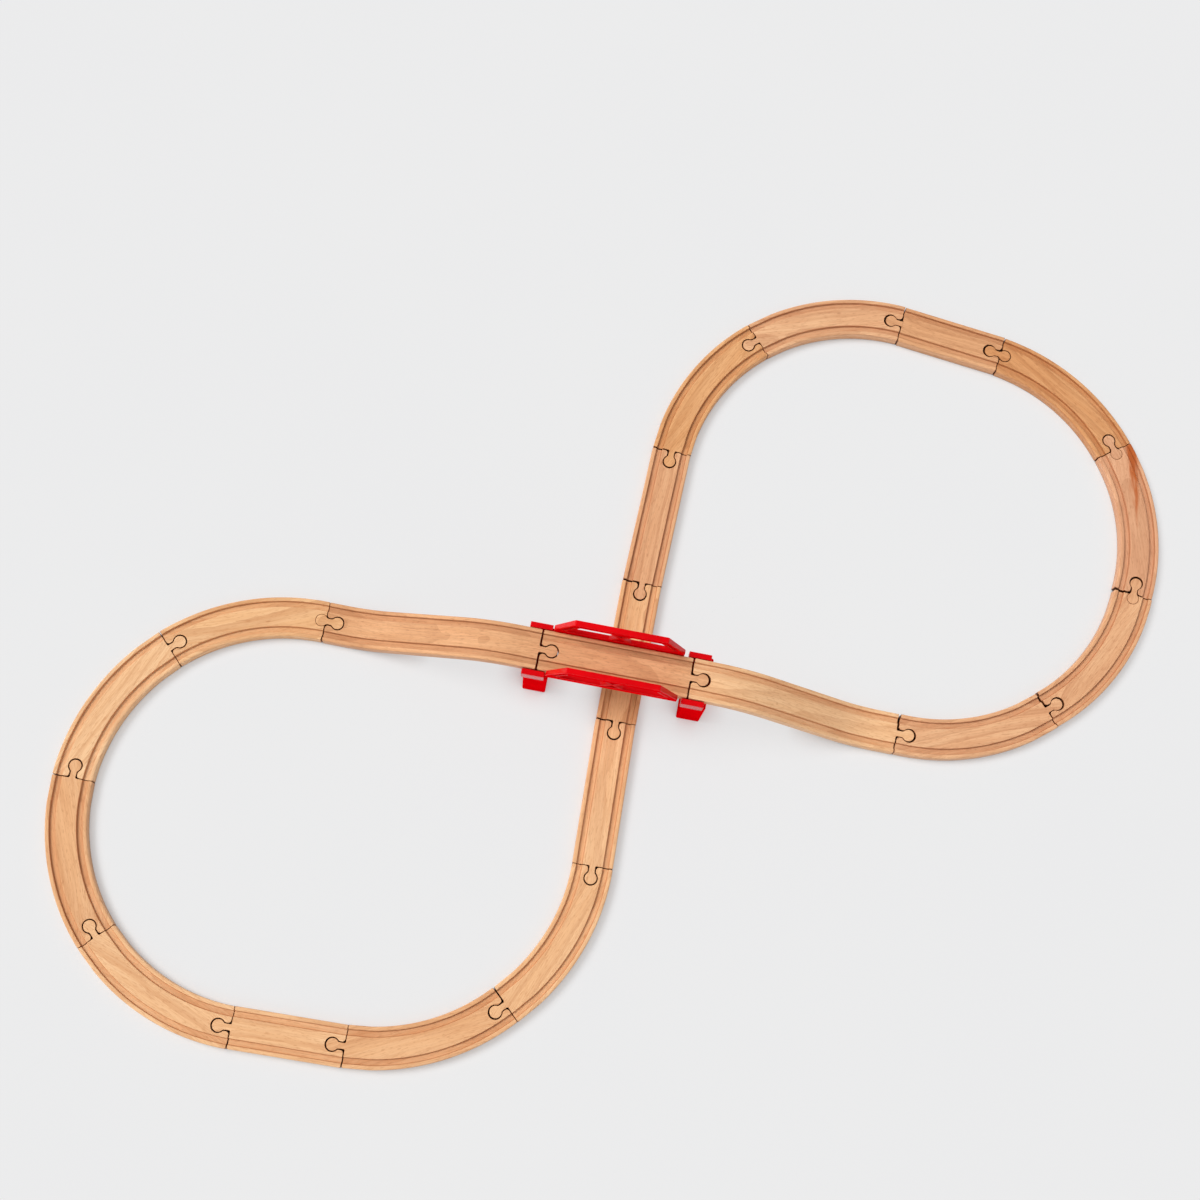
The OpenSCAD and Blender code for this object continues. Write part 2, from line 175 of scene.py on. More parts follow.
TURNS = close_ring(np.radians(SLACK))
PLACES, _, GAPS, _, _ = lay(TURNS)
SOCKET_REACH = KNOB_REACH - (max(GAPS) + min(GAPS)) / 2
SOCKET_R = KNOB_R + JOINT_CLR + (max(GAPS) - min(GAPS)) / 2 + SOCKET_ROOM
SLOT_W = NECK_W + 2 * (JOINT_CLR + (KNOB_REACH - MOUTH_R) * np.sin(np.abs(TURNS).max()))
SEAM_X = (DECK_L + DECK_GAP) / 2
WEST_X, EAST_X = WEST_SHIFT - SEAM_X, EAST_SHIFT + SEAM_X
RAMP_TOP = COLUMN_L / 2 + EAST_SHIFT + RAMP_REST
SLOPE_L = RAMP_L - RAMP_FOOT - RAMP_TOP
RAMP_R = RAMP_BEND * (SLOPE_L ** 2 + DECK_Z ** 2) / (4 * DECK_Z)
SLOPE_RUN = np.sqrt(SLOPE_L ** 2 + DECK_Z ** 2 - 4 * RAMP_R * DECK_Z)
SLOPE_A = 2 * np.arctan2(DECK_Z, SLOPE_L + SLOPE_RUN)
RAMP_PATH_L = RAMP_FOOT + 2 * RAMP_R * SLOPE_A + SLOPE_RUN + RAMP_TOP


def quarter(n):
    """n + 1 angles from 0 to a quarter turn."""
    return np.linspace(0, np.pi / 2, n + 1)


def throat_place(head_r, neck, throat, reach):
    """Distance from the face to the centre of the throat arc, which touches the neck and the head."""
    return reach - np.sqrt((head_r + throat) ** 2 - (neck / 2 + throat) ** 2)


def keyhole(x, head_r, neck, throat, flare, reach, grow):
    """Half width of a round head on a neck at distance x from the face, and the normal out of the outline.

    From the face inward: a flare arc, the straight neck, a throat arc and the head's circle. grow swells the
    head and the neck and shrinks the two hollow arcs, which keeps every part of the outline parallel.
    """
    half, r, t, f = neck / 2 + grow, head_r + grow, throat - grow, max(flare - grow, TINY)
    cf, ct = neck / 2 + flare, neck / 2 + throat
    xt = throat_place(head_r, neck, throat, reach)
    x_join = xt + (reach - xt) * t / (head_r + throat)
    flare_y = cf - np.sqrt(np.clip(f ** 2 - (x - flare) ** 2, 0, None))
    throat_y = ct - np.sqrt(np.clip(t ** 2 - (x - xt) ** 2, 0, None))
    head_y = np.sqrt(np.clip(r ** 2 - (x - reach) ** 2, 0, None))
    zone = [x < flare, x < xt, x < x_join]
    y = np.select(zone, [flare_y, half + 0 * x, throat_y], head_y)
    nx = np.select(zone, [(flare - x) / f, 0 * x, (xt - x) / t], (x - reach) / r)
    ny = np.select(zone, [(cf - y) / f, 1 + 0 * x, (ct - y) / t], y / r)
    return y, np.clip(nx, -1, 1), np.clip(ny, -1, 1)


def keyhole_steps(head_r, neck, throat, flare, reach, grow):
    """Distances at which a keyhole is sampled: even angles round the flare, the throat and the head."""
    xt = throat_place(head_r, neck, throat, reach)
    share = (reach - xt) / (head_r + throat)
    bow = np.linspace(0, np.arcsin(share), ARC_STEPS)
    head = np.linspace(np.arccos(np.clip(share, -1, 1)), np.pi, HEAD_STEPS)
    return np.concatenate([flare - max(flare - grow, TINY) * np.cos(quarter(ARC_STEPS)),
                           xt + (throat - grow) * np.sin(bow), reach - (head_r + grow) * np.cos(head)])


def groove_section():
    """Section of a groove as y and height over the underside: quarter rounds at its two upper edges and at
    the two corners of its floor, with walls that lean a little."""
    q = quarter(GROOVE_STEPS)
    near, far, floor = STRIP, STRIP + GROOVE_W, TRACK_T - GROOVE_D
    ease, foot = GROOVE_EASE, GROOVE_FOOT
    y = np.concatenate([near - ease + ease * np.sin(q), near + GROOVE_LEAN + foot - foot * np.cos(q),
                        far - GROOVE_LEAN - foot + foot * np.sin(q), far + ease - ease * np.cos(q)])
    z = np.concatenate([TRACK_T - ease + ease * np.cos(q), floor + foot - foot * np.sin(q),
                        floor + foot - foot * np.cos(q), TRACK_T - ease + ease * np.sin(q)])
    return y, z


# Columns of a piece's top: shares of the way from the middle to the groove, the groove, and shares of the
# way on to the side, with the painted shade of each and how far it is drawn toward a straight knob or socket
GROOVE_Y, GROOVE_Z = groove_section()
INNER_F = np.array([0, 2, 4, 4.5, 5.5, 7.5]) / GROOVE_Y[0]
OUTER_F = np.array([0.5, 1.0])
# Painted shade down the groove walls and onto the groove floor beside them, where the groove lies in shade
WALL_PAINTED_SHADE, GROOVE_SHADE_SHARE = np.array([0, 0.1, 0.3, 0.5, 0.7, 1.0, 1.0, 0.4]), 0.4
GROOVE_PAINTED_SHADE = GROOVE_SHADE_SHARE * np.concatenate([WALL_PAINTED_SHADE, WALL_PAINTED_SHADE[::-1]])
TOP_Z = np.concatenate([TRACK_T + 0 * INNER_F, GROOVE_Z, TRACK_T + 0 * OUTER_F])
TOP_PAINTED_SHADE = np.concatenate([0 * INNER_F, GROOVE_PAINTED_SHADE, 0 * OUTER_F])
TOP_DRAW = np.concatenate([1 - INNER_F, 0 * GROOVE_Y, 0 * OUTER_F])
KNOB_F = np.array([0, 0.5, 1])
# Painted shade on the outer sides and the underside, and across the quarter round into a cut face, so that
# the gaps of the joints look dark
SIDE_PAINTED_SHADE, SOLE_PAINTED_SHADE = 0.06, 0.06
EDGE_PAINTED_SHADE = np.array([0.35, 0.75, 1.0, 1.0, 1.0, 1.0, 1.0])


def path_straight(s, y, z):
    """Straight piece: s runs along +X."""
    return np.stack([s, y, z], -1)


def path_left(s, y, z):
    """Left curve: a point at arc length s and offset y turns about (0, CURVE_R)."""
    a = s / CURVE_R
    return np.stack([(CURVE_R - y) * np.sin(a), CURVE_R - (CURVE_R - y) * np.cos(a), z], -1)


def path_up(s, y, z):
    """Ramp that rises: level, hollow arc, slope, humped arc, level, with z square to the underside."""
    s1 = RAMP_FOOT
    s2 = s1 + RAMP_R * SLOPE_A
    s3 = s2 + SLOPE_RUN
    s4 = s3 + RAMP_R * SLOPE_A
    top_x, sn, cs = RAMP_L - RAMP_TOP, np.sin(SLOPE_A), np.cos(SLOPE_A)
    a, b = (s - s1) / RAMP_R, SLOPE_A - (s - s3) / RAMP_R
    zone = [s < s1, s < s2, s < s3, s < s4]
    x = np.select(zone, [s, s1 + (RAMP_R - z) * np.sin(a), s1 + RAMP_R * sn + (s - s2) * cs - z * sn,
                         top_x - (RAMP_R + z) * np.sin(b)], top_x + s - s4)
    h = np.select(zone, [z, RAMP_R - (RAMP_R - z) * np.cos(a), RAMP_R * (1 - cs) + (s - s2) * sn + z * cs,
                         DECK_Z - RAMP_R + (RAMP_R + z) * np.cos(b)], DECK_Z + z)
    return np.stack([x, y, h], -1)


def path_down(s, y, z):
    """Ramp that falls: the rising ramp walked backwards."""
    p = path_up(RAMP_PATH_L - s, y, z)
    p[..., 0] = RAMP_L - p[..., 0]
    return p


PATHS = {"deck": path_straight, "short": path_straight, "straight": path_straight, "left": path_left,
         "right": path_left, "up": path_up, "down": path_down}


def mesh_quads(index):
    """Quads between the neighbouring rows and columns of a grid of vertex numbers."""
    return np.stack([index[:-1, :-1], index[1:, :-1], index[1:, 1:], index[:-1, 1:]], -1).reshape(-1, 4)


def mirrored(points):
    """Points followed by their mirror images in y."""
    return np.concatenate([points, points * [1, -1, 1]])


class Shell:
    """Collects grids of points of one half of a piece, and the quads between them. Each row of its table is
    a point's s, y and z, its weights toward the straight lines out of the start and the end, and its painted
    shade.
    """

    def __init__(self):
        self.rows, self.faces, self.count = [], [], 0

    def add(self, *columns):
        """Takes in a grid of points, its six columns broadcast to one shape, and returns their numbers."""
        columns = np.broadcast_arrays(*columns)
        index = self.count + np.arange(columns[0].size).reshape(columns[0].shape)
        self.rows.append(np.stack(columns, -1).reshape(index.size, -1).astype(float))
        self.count += index.size
        return index

    def quads(self, index):
        """Joins a grid of point numbers by quads."""
        self.faces.append(mesh_quads(index))

    def both_sides(self):
        """The table of this half, and the faces of both halves. Mirrored points come after the table's."""
        table, faces = np.concatenate(self.rows), np.concatenate(self.faces)
        return table, np.concatenate([faces, faces[:, ::-1] + len(table)])


def curtain(shell, s, y, z, ns, ny, r, w_in, w_out, painted_shade, top, bottom):
    """Wall hung from a boundary: a quarter round of radius r, an upright wall and a small round below.

    Point (u, v) is the boundary point u moved out along its normal by r sin(v) and down by r (1 - cos(v)).
    Painted shade on the wall, which stands for the dark of a joint's gap, comes in over the quarter round.
    """
    over, under = quarter(EDGE_STEPS)[1:, None], quarter(FOOT_STEPS)[:-1, None]
    f = np.minimum(r, SOFT_R)
    out = np.concatenate([r * np.sin(over), r[None], r - f + f * np.cos(under)])
    low = np.concatenate([z - r * (1 - np.cos(over)), z[None] / 2, f - f * np.sin(under)])
    mid = shell.add(s + out * ns, y + out * ny, low, w_in, w_out, EDGE_PAINTED_SHADE[:, None] * painted_shade)
    shell.quads(np.concatenate([top[None], mid, bottom[None]]))


def cut_edge(row, col, ns, ny, r, painted_shade=1.0):
    """One run of the top's boundary as six rows: grid row and column, normal, edge radius and painted shade.
    """
    return np.stack(np.broadcast_arrays(*map(np.atleast_1d, (row, col, ns, ny, r, painted_shade)))).astype(float)


def half_piece(length, plugged, room, sink):
    """One side, y >= 0, of a track piece: top, underside and the wall all round, as one open half shell.

    The top is a grid of stations s along the piece and columns y across it. The columns start at the outline
    of a hole, or at the middle line where there is none, and end at the side, which turns in at the corners.
    The room is left round a plug's glued head, and the socket lies deeper by the sink.
    """
    shell, rho = Shell(), SOFT_R
    fit, depth = PLUG_CLR + room, SOCKET_REACH + sink
    socket = dict(head_r=SOCKET_R, neck=SLOT_W, throat=THROAT_R, flare=MOUTH_R, reach=depth, grow=rho)
    pocket = dict(head_r=KNOB_R + fit, neck=NECK_W + 2 * fit, throat=THROAT_R, flare=NO_FLARE,
                  reach=PLUG_SEAT, grow=rho)

    # stations, close together at the corners and along the holes
    corner_q = quarter(ARC_STEPS)
    corner_rho = rho + (EDGE_R - rho) * corner_q / (np.pi / 2)
    corner_s = CUT_CORNER_R - (CUT_CORNER_R - corner_rho) * np.cos(corner_q)
    corner_y = HALF_W - CUT_CORNER_R + (CUT_CORNER_R - corner_rho) * np.sin(corner_q)
    s = [corner_s, length - corner_s, keyhole_steps(**socket),
         np.linspace(JOINT_ZONE, length - JOINT_ZONE, int(length / STATION_L))]
    if plugged:
        s.append(length - keyhole_steps(**pocket))
    s = np.unique(np.round(np.concatenate(s), DIGITS))
    s = s[(s >= rho - HAIR) & (s <= length - rho + HAIR)]
    near = np.minimum(s, length - s)
    y_out, turn, side_rho = (np.interp(near, corner_s, c) for c in (corner_y, corner_q, corner_rho))

    # outlines of the socket and of a glued plug's pocket
    inner, n_s, n_y = keyhole(s, **socket)
    hole_in = s <= depth + SOCKET_R + rho + TINY
    inner = np.where(hole_in, inner, 0)
    hole_out = np.zeros(len(s), bool)
    if plugged:
        back, b_s, b_y = keyhole(length - s, **pocket)
        hole_out = length - s <= PLUG_SEAT + KNOB_R + fit + rho + TINY
        inner = np.where(hole_out, back, inner)
        n_s, n_y = np.where(hole_out, -b_s, n_s), np.where(hole_out, b_y, n_y)

    # grid of the top
    y = np.concatenate([inner[:, None] + INNER_F * (GROOVE_Y[0] - inner[:, None]),
                        np.broadcast_to(GROOVE_Y, (len(s), len(GROOVE_Y))),
                        GROOVE_Y[-1] + OUTER_F * (y_out[:, None] - GROOVE_Y[-1])], 1)
    w_in, w_out = hole_in[:, None] * TOP_DRAW, hole_out[:, None] * TOP_DRAW
    top = shell.add(s[:, None], y, TOP_Z, w_in, w_out, TOP_PAINTED_SHADE)

    # boundary of the top, walked from the socket's far end round the outside to the other end
    last, cols, rows = len(s) - 1, np.arange(y.shape[1]), np.arange(1, len(s) - 1)
    mouth = np.flatnonzero(hole_in)[::-1]
    way = np.where(s[rows] < length / 2, -1, 1)
    neck = len(KNOB_F)
    end_face = cols if plugged else cols[neck - 1:]
    # Sockets, end faces and knobs take the full painted shade, which darkens the gaps of the joints; the
    # outer side takes only a little, more as it turns into an end
    runs = [cut_edge(mouth, 0, -n_s[mouth], -n_y[mouth], rho),
            cut_edge(0, cols[1:], -1, 0, rho),
            cut_edge(rows, cols[-1], way * np.cos(turn[rows]), np.sin(turn[rows]), side_rho[rows],
                     SIDE_PAINTED_SHADE + (1 - SIDE_PAINTED_SHADE) * np.cos(turn[rows])),
            cut_edge(last, end_face[::-1], 1, 0, rho)]
    if plugged:
        back = np.flatnonzero(hole_out)[::-1]
        tip = np.linspace(0, np.arctan2(n_y[last], -n_s[last]), TIP_STEPS + 1)[1:-1]
        runs += [cut_edge(last, 0, np.cos(tip), -np.sin(tip), rho),
                 cut_edge(back, 0, -n_s[back], -n_y[back], rho)]
    row, col, ns, ny, r, edge_shade = np.concatenate(runs, 1)
    row, col = row.astype(int), col.astype(int)

    # underside, which reaches out below the rounded edge
    foot = r - np.minimum(r, SOFT_R)
    bs, by = np.broadcast_to(s[:, None], y.shape).copy(), y.copy()
    bs[row, col] += foot * ns
    by[row, col] += foot * ny
    under = shell.add(bs, by, 0.0, w_in, w_out, SOLE_PAINTED_SHADE)
    shell.quads(top)
    shell.quads(under[:, ::-1])
    edge_top, edge_under = top[row, col], under[row, col]
    es, ey, ez = s[row], y[row, col], TOP_Z[col]
    ewi = np.where((col == 0) & hole_in[row], 1.0, 0.0)
    ewo = np.where((col == 0) & hole_out[row], 1.0, 0.0)

    # knob cut from the piece's own wood, which carries the boundary on
    if not plugged:
        knob = dict(head_r=KNOB_R, neck=NECK_W, throat=THROAT_R, flare=FLARE_R, reach=KNOB_REACH, grow=-rho)
        x = np.unique(np.round(keyhole_steps(**knob), DIGITS))[1:]
        hk, k_s, k_y = keyhole(x, **knob)
        ks, ky = length + x[:, None], hk[:, None] * KNOB_F
        head = shell.add(ks, ky, TRACK_T, 0.0, 1.0, 0.0)
        sole = shell.add(ks, ky, 0.0, 0.0, 1.0, SOLE_PAINTED_SHADE)
        shell.quads(np.concatenate([top[last:, :neck], head]))
        shell.quads(np.concatenate([under[last:, :neck], sole])[:, ::-1])
        n = len(x)
        edge_top, edge_under = np.append(edge_top, head[:, -1]), np.append(edge_under, sole[:, -1])
        es, ey, ez = np.append(es, length + x), np.append(ey, hk), np.append(ez, np.full(n, TRACK_T))
        ns, ny, r = np.append(ns, k_s), np.append(ny, k_y), np.append(r, np.full(n, rho))
        ewi, ewo, edge_shade = np.append(ewi, np.zeros(n)), np.append(ewo, np.ones(n)), np.append(edge_shade, np.ones(n))
    curtain(shell, es, ey, ez, ns, ny, r, ewi, ewo, edge_shade, edge_top, edge_under)
    return shell


def whole_piece(kind, plugged, room, sink, cut_in, cut_out):
    """Both sides of a track piece carried along its path. Returns points, quads, the painted shade and the
    points as they lie along the grain, which follows a ramp's slope.

    Points near a joint are drawn toward the straight line out of the end face by their weights, because
    knobs and sockets are straight even on a curve. Each rough saw cut slides its end face along by its
    length and by its lean times y, which dies away over CUT_FADE.
    """
    length = RAMP_PATH_L if kind in RAMPS else CURVE_R * CURVE_A if kind in BEND else RUN[kind]
    table, faces = half_piece(length, plugged, room, sink).both_sides()
    flat = mirrored(table[:, :3])
    s, y, z = flat.T
    w_in, w_out, painted_shade = np.tile(table[:, 3:], (2, 1)).T
    (long_in, lean_in), (long_out, lean_out) = cut_in, cut_out
    start, stop = (np.clip(1 - far / CUT_FADE, 0, 1) for far in (s, length - s))
    s = (s + start * (1 - w_in) * (lean_in * y - long_in)
         + stop * (1 - w_out) * (long_out - lean_out * y))
    points = PATHS[kind](s, y, z)
    if kind in BEND:
        c, n = np.cos(CURVE_A), np.sin(CURVE_A)
        ahead = s - length
        into = path_straight(s, y, z)
        out = np.stack([CURVE_R * n + ahead * c - y * n, CURVE_R * (1 - c) + ahead * n + y * c, z], -1)
        points = points + w_in[:, None] * (into - points) + w_out[:, None] * (out - points)
    if kind == "right":
        points[:, 1] *= -1
    return points, faces, painted_shade, flat if kind in RAMPS else points


def plug_shell():
    """Two-headed plug: one keyhole outline runs out of the end face and a shorter one back into it. The
    upper and lower edges are softened."""
    rho = SOFT_R
    form = dict(head_r=KNOB_R, neck=NECK_W, throat=THROAT_R, flare=NO_FLARE, grow=-rho)
    loose = np.unique(np.round(keyhole_steps(reach=KNOB_REACH, **form), DIGITS))
    glued = np.unique(np.round(keyhole_steps(reach=PLUG_SEAT, **form), DIGITS))[::-1]
    loose, glued = loose[loose > NECK_W / 2], glued[glued > -NECK_W / 2]
    h_out, nx_out, ny_out = keyhole(loose, reach=KNOB_REACH, **form)
    h_in, nx_in, ny_in = keyhole(glued, reach=PLUG_SEAT, **form)
    x, h = np.concatenate([-glued, loose]), np.concatenate([h_in, h_out])
    nx, ny = np.concatenate([-nx_in, nx_out]), np.concatenate([ny_in, ny_out])
    shell = Shell()
    none, one = 0.0 * x, 1.0 + 0 * x
    top = shell.add(x[:, None], h[:, None] * KNOB_F, TRACK_T, 0.0, 0.0, 0.0)
    under = shell.add(x[:, None], h[:, None] * KNOB_F, 0.0, 0.0, 0.0, SOLE_PAINTED_SHADE)
    shell.quads(top)
    shell.quads(under[:, ::-1])
    curtain(shell, x, h, TRACK_T * one, nx, ny, rho * one, none, none, one, top[:, -1], under[:, -1])
    table, faces = shell.both_sides()
    return mirrored(table[:, :3]), faces, np.tile(table[:, -1], 2)


def stand(points, at, a, z):
    """Turns points by a about the upright axis and carries them to a place at height z."""
    c, n = np.cos(a), np.sin(a)
    x, y = points[:, 0], points[:, 1]
    return np.stack([at[0] + c * x - n * y, at[1] + n * x + c * y, points[:, 2] + z], -1)


def add_object(name, data):
    """New object of a mesh, a lamp or a camera in the scene."""
    obj = bpy.data.objects.new(name, data)
    bpy.context.scene.collection.objects.link(obj)
    return obj


def piece(name, points, faces, fields, material, body, node):
    """Makes a closed mesh of millimetre points, softens its shading and hangs it on a body in place of a
    node. Faces that name a point twice lose a corner, and points that meet become one."""
    mesh = bpy.data.meshes.new(name)
    mesh.from_pydata((points * MM).tolist(), [], [list(dict.fromkeys(map(int, f))) for f in faces])
    for key, kind, value in fields:
        layer = mesh.attributes.new(key, kind, "POINT")
        store = "vector" if kind == "FLOAT_VECTOR" else "value"
        layer.data.foreach_set(store, np.ascontiguousarray(value).ravel())
    bm = bmesh.new()
    bm.from_mesh(mesh)
    bmesh.ops.remove_doubles(bm, verts=bm.verts, dist=WELD_M)
    bmesh.ops.dissolve_degenerate(bm, edges=bm.edges, dist=SLIVER_M)
    bmesh.ops.delete(bm, geom=[v for v in bm.verts if not v.link_faces], context="VERTS")
    bmesh.ops.recalc_face_normals(bm, faces=bm.faces)
    bm.to_mesh(mesh)
    bm.free()
    mesh.polygons.foreach_set("use_smooth", np.ones(len(mesh.polygons), bool))
    mesh.set_sharp_from_angle(angle=SHARP_A)
    mesh.materials.append(material)
    obj = add_object(name, mesh)
    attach(obj, body)
    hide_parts(node)


def rounded_loop(corners, r, n):
    """Closed outline whose corners are arcs of radius r, in n steps, that touch both edges."""
    p = np.asarray(corners, float)
    a, b = np.roll(p, 1, 0) - p, np.roll(p, -1, 0) - p
    a, b = a / np.linalg.norm(a, axis=1)[:, None], b / np.linalg.norm(b, axis=1)[:, None]
    half = np.arccos(np.clip((a * b).sum(1), -1, 1)) / 2
    mid = a + b
    mid = mid / np.linalg.norm(mid, axis=1)[:, None]
    r = np.broadcast_to(r, len(p))
    centre = p + mid * (r / np.sin(half))[:, None]
    start, stop = p + a * (r / np.tan(half))[:, None] - centre, p + b * (r / np.tan(half))[:, None] - centre
    f = np.linspace(0, 1, n + 1)[None, :, None]
    arc = start[:, None] * (1 - f) + stop[:, None] * f
    arc = arc / np.linalg.norm(arc, axis=2)[..., None] * r[:, None, None]
    return (centre[:, None] + arc).reshape(-1, 2)


def loop_normals(p):
    """Outward normals of a closed loop that runs anticlockwise, lengthened so that offsets stay parallel."""
    e = np.roll(p, -1, 0) - p
    n = np.stack([e[:, 1], -e[:, 0]], -1) / np.linalg.norm(e, axis=1)[:, None]
    m = n + np.roll(n, 1, 0)
    return 2 * m / (m * m).sum(1)[:, None]


def ring_stack(loop, rings):
    """Rings of one outline at given insets and depths, joined in order: (u, v, depth) points and quads."""
    n = loop_normals(loop)
    points = np.concatenate([np.column_stack([loop - inset * n, np.full(len(loop), depth)])
                             for inset, depth in rings])
    index = np.arange(len(points)).reshape(len(rings), len(loop))
    index = np.concatenate([index, index[:, :1]], 1)
    return points, mesh_quads(index)


def upper_rim(high, r):
    """Insets and depths of a quarter round of radius r that ends at a depth."""
    return [(r - r * np.cos(a), high - r + r * np.sin(a)) for a in quarter(RIM_STEPS)]


def soft_rings(low, high, r):
    """Insets and depths across a plate whose two rims are quarter rounds of radius r."""
    return [(r - r * np.sin(a), low + r - r * np.cos(a)) for a in quarter(RIM_STEPS)] + upper_rim(high, r)


def capped(points, faces, n):
    """A stack of rings of n points closed by a flat face at each end."""
    return points, faces.tolist() + [list(range(n))[::-1], list(range(len(points) - n, len(points)))]


def plate(outer, holes, thick, r):
    """Flat moulding with holes: every outline is a soft-rimmed wall, and triangles fill both faces."""
    points, faces, first, last, base = [], [], [], [], 0
    rings = soft_rings(0, thick, r)
    for loop in [outer] + [h[::-1] for h in holes]:
        p, f = ring_stack(loop, rings)
        points.append(p)
        faces += (f + base).tolist()
        first.append(base + np.arange(len(loop)))
        last.append(base + len(p) - len(loop) + np.arange(len(loop)))
        base += len(p)
    points = np.concatenate(points)
    flat = points * [1, 1, 0]
    for rims in (first, last):
        corners = tessellate_polygon([flat[rim].tolist() for rim in rims])
        faces += np.concatenate(rims)[np.array(corners)].tolist()
    return points, faces


def join(*solids):
    """Puts several (points, faces) solids into one list."""
    points, faces, base = [], [], 0
    for p, f in solids:
        points.append(p)
        faces += [[i + base for i in face] for face in f]
        base += len(p)
    return np.concatenate(points), faces


# Colour card: tones are written 0 to 255, and become linear by the usual curve
CARD_TOP, CARD_KNEE, CARD_SLOPE, CARD_LIFT, CARD_POWER = 255, 0.04045, 12.92, 0.055, 2.4


def tone(r, g, b):
    """Linear colour of a tone on the colour card: a straight foot, then a power curve."""
    c = np.array([r, g, b]) / CARD_TOP
    curve = ((c + CARD_LIFT) / (1 + CARD_LIFT)) ** CARD_POWER
    return (*np.where(c <= CARD_KNEE, c / CARD_SLOPE, curve), 1.0)


def grey(value):
    """Linear grey."""
    return value, value, value, 1.0


# Sockets of a Mix node that mixes colours, and the detail of noise
MIX_FACTOR, MIX_A, MIX_B, MIX_RESULT = 0, 6, 7, 2
PLAIN_DETAIL, BROAD_DETAIL, FINE_DETAIL = 1.0, 2.0, 3.0

# Beech figure: waves per metre along and across the grain, detail, roughness, and the levels of each mask
FIGURE_MASKS = {
    "Cloud": (5, 24, BROAD_DETAIL, 0.55, 0.32, 0.68),
    "Streak": (9, 240, FINE_DETAIL, 0.6, 0.34, 0.68),
    "Fine": (22, 700, FINE_DETAIL, 0.65, 0.38, 0.68),
    "Fleck": (170, 1100, PLAIN_DETAIL, 0.5, 0.56, 0.7),
}
SWAY_WAVES, SWAY = (6, 14, 14), (0, 0.012, 0.012)
RING_WAVES, RING_WANDER, RING_DETAIL, RING_DETAIL_SCALE = 52.0, 1.6, 2.0, 0.6
RING_LEVELS = 0.35, 1.0
SPECK_WAVES, SPECK_LEVELS = (22, 60, 60), (0.075, 0.03)

# Beech finish: how strongly each mask shows, and the painted shade, lacquer and fine relief
FIGURE_SHARES = {"Cloud": 0.5, "Streak": 0.55, "Fine": 0.24, "Ring": 0.22, "Fleck": 0.3, "Speck": 0.45}
LINED_RINGS = 0.32
PAINTED_SHADE_MID, PAINTED_SHADE_SHARE = 0.5, 0.72
WOOD_ROUGH, WOOD_SPECULAR = (0.38, 0.5), 0.35
WOOD_BUMP, WOOD_BUMP_M = 0.1, 0.0004

# Pale ground, warm figure and deep lines of each kind of beech
BEECH_TONES = {
    "honey": ((254, 208, 160), (242, 186, 134), (186, 112, 62)),
    "tan": ((248, 198, 150), (234, 174, 122), (178, 104, 56)),
    "pale": ((255, 212, 165), (246, 192, 141), (190, 118, 66)),
    "lined": ((252, 205, 155), (240, 183, 128), (186, 112, 62)),
    "rose": ((244, 193, 147), (230, 169, 123), (170, 98, 58)),
    "golden": ((244, 188, 134), (226, 162, 106), (166, 94, 44)),
    "amber": ((236, 176, 122), (216, 148, 94), (156, 84, 38)),
    "dull": ((240, 184, 136), (223, 161, 113), (162, 96, 56)),
    "stained": ((243, 188, 146), (229, 168, 128), (164, 98, 58)),
}
# Darkest tone of the painted shade in grooves and joint gaps, and the brown of a real stain
PAINTED_SHADE_TONE, STAIN = tone(112, 66, 36), tone(190, 94, 36)

# Where blanks lay in the tree: a step along it, and swings beside, above and askew with their beats. The
# plugs' blanks have numbers of their own
BLANK_STEP, BLANK_SIDE, BLANK_HIGH, BLANK_SWING, BLANK_SKEW = 1700, 22, 34, 16, 0.12
BLANK_BEATS, BLANK_STARTS = np.array([2.3, 1.7, 3.1]), np.array([0.0, 1.0, 0.5])
PLUG_BLANKS = 30

# Brown stain on one curve, placed in the curve's own frame
STAINED = NAMES.index("curve_3")
STAIN_ALONG, STAIN_ACROSS, STAIN_L, STAIN_W, STAIN_TURN = 158.0, -19.3, 112.0, 8.5, np.radians(3.4)
STAIN_WAVES, STAIN_LEVELS, STAIN_SHARE = (40, 300, 0), (1.3, 0.8), 0.95

# Red plastic: waves per metre of its slow and fine unevenness, and tones where it is glossy and matt
WAVER_WAVES, WAVER_LEVELS, HAZE_WAVES, HAZE_LEVELS = 60.0, (0.35, 0.7), 900.0, (0.3, 0.7)
GLOSS_TONES = tone(228, 1, 12), tone(216, 0, 9)
MATT_TONES = tone(250, 1, 12), tone(240, 0, 9)
RED_ROUGH, RED_COAT_ROUGH, RED_BUMP, RED_BUMP_M = (0.3, 0.42), 0.14, 0.08, 0.0006


def put(tree, kind, links=(), **settings):
    """Adds a node with its own settings, and links or sets each of the sockets that are given."""
    n = tree.nodes.new(kind)
    for key, value in settings.items():
        setattr(n, key, value)
    for socket, value in links:
        target = n.inputs[socket]
        if isinstance(value, bpy.types.NodeSocket):
            tree.links.new(value, target)
        else:
            target.default_value = value
    return n


def bare_tree(owner):
    """Node tree of a material or a world, with nothing in it yet."""
    owner.use_nodes = True
    owner.node_tree.nodes.clear()
    return owner.node_tree


def new_group(name, ins, outs):
    """Empty shader node group with the given sockets."""
    g = bpy.data.node_groups.new(name, "ShaderNodeTree")
    for key, kind in ins:
        g.interface.new_socket(key, in_out="INPUT", socket_type=kind)
    for key, kind in outs:
        g.interface.new_socket(key, in_out="OUTPUT", socket_type=kind)
    return g, g.nodes.new("NodeGroupInput"), g.nodes.new("NodeGroupOutput")


def vector_arithmetic(g, operation, a, b):
    """Plain arithmetic on two vectors, axis by axis."""
    return put(g, "ShaderNodeVectorMath", [(0, a), (1, b)], operation=operation).outputs[0]


